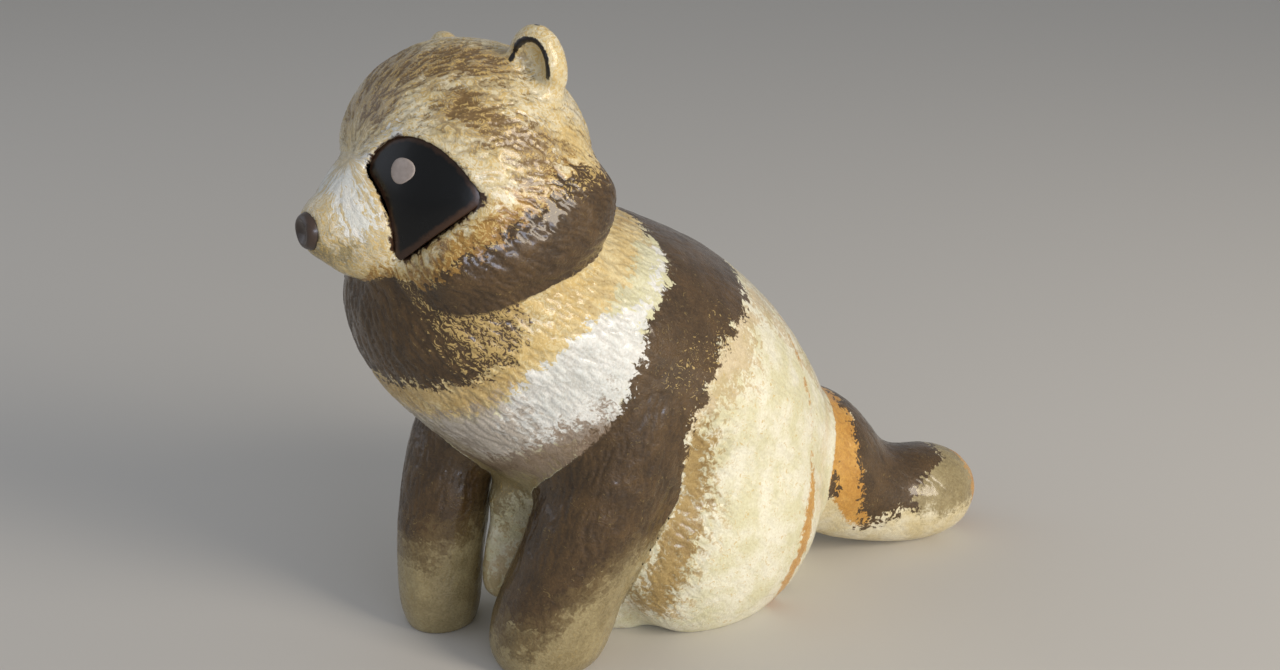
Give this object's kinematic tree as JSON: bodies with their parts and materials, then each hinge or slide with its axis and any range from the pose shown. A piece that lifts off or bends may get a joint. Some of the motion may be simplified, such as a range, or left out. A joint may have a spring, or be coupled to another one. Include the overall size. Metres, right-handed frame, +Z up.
{
  "type": "tanuki statue",
  "caption": "Seated tanuki figure of hand-modelled painted clay, with a leaning egg-shaped body, round masked head, straight forelegs and a thick tail resting on the ground.",
  "frame": {"origin": "on the ground plane, midway between the front of the nose and the tip of the tail, on the body's middle plane", "axes": "-Y towards the nose, +X the animal's left, +Z up"},
  "size_m": [0.0472, 0.1162, 0.0939],
  "materials": {
    "brown_clay": "painted with combed fur strokes, satin varnish",
    "dark_clay": "painted dark brown, satin varnish",
    "cream_clay": "painted pale cream, satin varnish",
    "golden_clay": "painted golden cream with brown speckle, satin varnish",
    "ruff_clay": "painted golden brown, gloss varnish",
    "white_clay": "painted off-white and tan, satin varnish",
    "nose_gloss": "gloss dark brown",
    "eye_gloss": "gloss black",
    "pressed_paper": "pressed paper roll, hidden",
    "wire": "drawn wire, hidden"
  },
  "bodies": {
    "root": {"torso": "brown_clay", "foreleg_left": "dark_clay", "foreleg_right": "dark_clay", "belly": "cream_clay", "haunch_left": "cream_clay", "haunch_right": "cream_clay", "tail": "golden_clay", "head": "golden_clay", "ear_left": "golden_clay", "ear_right": "golden_clay", "cheek_left": "ruff_clay", "cheek_right": "ruff_clay", "muzzle": "white_clay", "nose": "nose_gloss", "eye_left": "eye_gloss", "eye_right": "eye_gloss", "torso_core": "pressed_paper", "head_core": "pressed_paper", "neck_wire": "wire", "foreleg_wire_left": "wire", "foreleg_wire_right": "wire", "tail_wire": "wire"}
  },
  "joints": []
}
